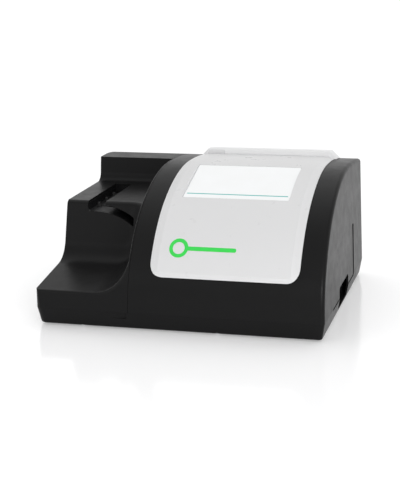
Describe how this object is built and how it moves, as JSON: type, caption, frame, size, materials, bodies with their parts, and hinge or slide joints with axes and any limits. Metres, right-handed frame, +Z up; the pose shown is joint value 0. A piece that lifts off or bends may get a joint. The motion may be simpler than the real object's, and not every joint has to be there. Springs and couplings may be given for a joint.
{
  "type": "urine analyzer",
  "caption": "Benchtop urine strip reader: arched case with a white screen cover, a stepped strip intake with slot and ramp, a printer lid and a waste drawer.",
  "frame": {"origin": "middle of the case's plan, at the underside of the rubber feet", "axes": "+X to the unit's right, +Y to its back, +Z up; the front faces -Y"},
  "size_m": [0.36, 0.312, 0.179],
  "materials": {
    "case_dark": "fine satin, charcoal",
    "foot_rubber": "matt",
    "steel": "plain",
    "cover_white": "satin, white",
    "screen_glass": "polished",
    "display_white": "lit panel, white",
    "light_green": "lit, green",
    "board_green": "solder mask",
    "tray_black": "matt black",
    "frame_zinc": "zinc-plated sheet",
    "bush_brass": "turned",
    "acetal_white": "acetal, off-white",
    "motor_black": "black",
    "belt_rubber": "matt",
    "diffuser_white": "frosted",
    "paper_white": "thermal paper, white",
    "bin_grey": "satin, grey"
  },
  "bodies": {
    "case": {"base_shell": "case_dark", "rubber_feet": "foot_rubber", "case_screws": "steel", "left_cover": "case_dark", "main_housing": "case_dark", "front_cover": "cover_white", "screen_glass": "screen_glass", "display_module": "display_white", "status_light_guide": "light_green", "status_light_board": "board_green", "strip_tray": "tray_black", "transport_frame": "frame_zinc", "shaft_bushes": "bush_brass", "sweeper_motor": "motor_black", "measuring_deck": "acetal_white", "transfer_frame": "frame_zinc", "transfer_rods": "steel", "idler_axle": "steel", "transfer_belt": "belt_rubber", "transfer_motor": "motor_black", "optical_head": "tray_black", "sensor_board": "board_green", "light_bars": "diffuser_white", "printer_bay": "tray_black", "thermal_head": "frame_zinc", "lid_hinge_pin": "steel", "printer_motor": "motor_black", "drawer_guides": "frame_zinc", "main_board": "board_green", "board_standoffs": "bush_brass", "board_screws": "steel", "dc_inlet": "tray_black", "usb_sockets": "steel", "serial_socket": "steel", "power_switch": "tray_black"},
    "sweeper": {"sweeper_shaft": "steel", "sweeper_arm": "acetal_white", "sweeper_sector": "acetal_white"},
    "sweeper_drive": {"sweeper_pinion": "bush_brass"},
    "comb": {"transfer_comb": "acetal_white"},
    "belt_drive": {"drive_pulley": "acetal_white"},
    "belt_idler": {"idler_pulley": "acetal_white"},
    "lid": {"printer_lid": "cover_white"},
    "platen": {"platen_roller": "foot_rubber", "platen_shaft": "steel"},
    "print_drive": {"printer_pinion": "bush_brass"},
    "roll": {"paper_roll": "paper_white"},
    "drawer": {"drawer_front": "case_dark", "waste_bin": "bin_grey"},
    "rocker": {"power_rocker": "tray_black"}
  },
  "joints": [
    {"name": "strip_sweeper_swing", "type": "hinge", "parent": "case", "child": "sweeper", "pos_m": [-0.1395, 0.02525, 0.032], "axis": [0, 1, 0], "range_deg": [0, 36]},
    {"name": "sweeper_pinion_spin", "type": "hinge", "parent": "case", "child": "sweeper_drive", "pos_m": [-0.11052, -0.0085, 0.03977], "axis": [0, 1, 0], "range_deg": [-150, 5]},
    {"name": "transfer_comb_slide", "type": "slide", "parent": "case", "child": "comb", "axis": [1, 0, 0], "range_m": [0, 0.07]},
    {"name": "drive_pulley_spin", "type": "hinge", "parent": "case", "child": "belt_drive", "pos_m": [-0.049, 0.034, 0.034], "axis": [0, 1, 0], "range_deg": [-5, 580]},
    {"name": "idler_pulley_spin", "type": "hinge", "parent": "case", "child": "belt_idler", "pos_m": [0.021, 0.034, 0.034], "axis": [0, 1, 0], "range_deg": [-5, 580]},
    {"name": "printer_lid_hinge", "type": "hinge", "parent": "case", "child": "lid", "pos_m": [0.059, 0.1337, 0.16631], "axis": [-1, 0, 0], "range_deg": [0, 95]},
    {"name": "platen_spin", "type": "hinge", "parent": "lid", "child": "platen", "pos_m": [0.0445, 0.107, 0.157], "axis": [1, 0, 0], "continuous": true},
    {"name": "print_pinion_spin", "type": "hinge", "parent": "case", "child": "print_drive", "pos_m": [0.0803, 0.107, 0.148], "axis": [1, 0, 0], "continuous": true},
    {"name": "paper_roll_spin", "type": "hinge", "parent": "case", "child": "roll", "pos_m": [0.0445, 0.1145, 0.138], "axis": [1, 0, 0], "continuous": true},
    {"name": "waste_drawer_slide", "type": "slide", "parent": "case", "child": "drawer", "axis": [1, 0, 0], "range_m": [0, 0.14]},
    {"name": "power_rocker_tilt", "type": "hinge", "parent": "case", "child": "rocker", "pos_m": [0.12, 0.15024, 0.1], "axis": [1, 0, 0], "range_deg": [0, 12]}
  ],
  "couplings": [
    {"joint": "sweeper_pinion_spin", "follows": "strip_sweeper_swing", "ratio": -4},
    {"joint": "drive_pulley_spin", "follows": "transfer_comb_slide", "rad_per_m": 142.86},
    {"joint": "idler_pulley_spin", "follows": "transfer_comb_slide", "rad_per_m": 142.86},
    {"joint": "print_pinion_spin", "follows": "platen_spin", "ratio": -2},
    {"joint": "paper_roll_spin", "follows": "platen_spin", "ratio": 0.27586}
  ]
}
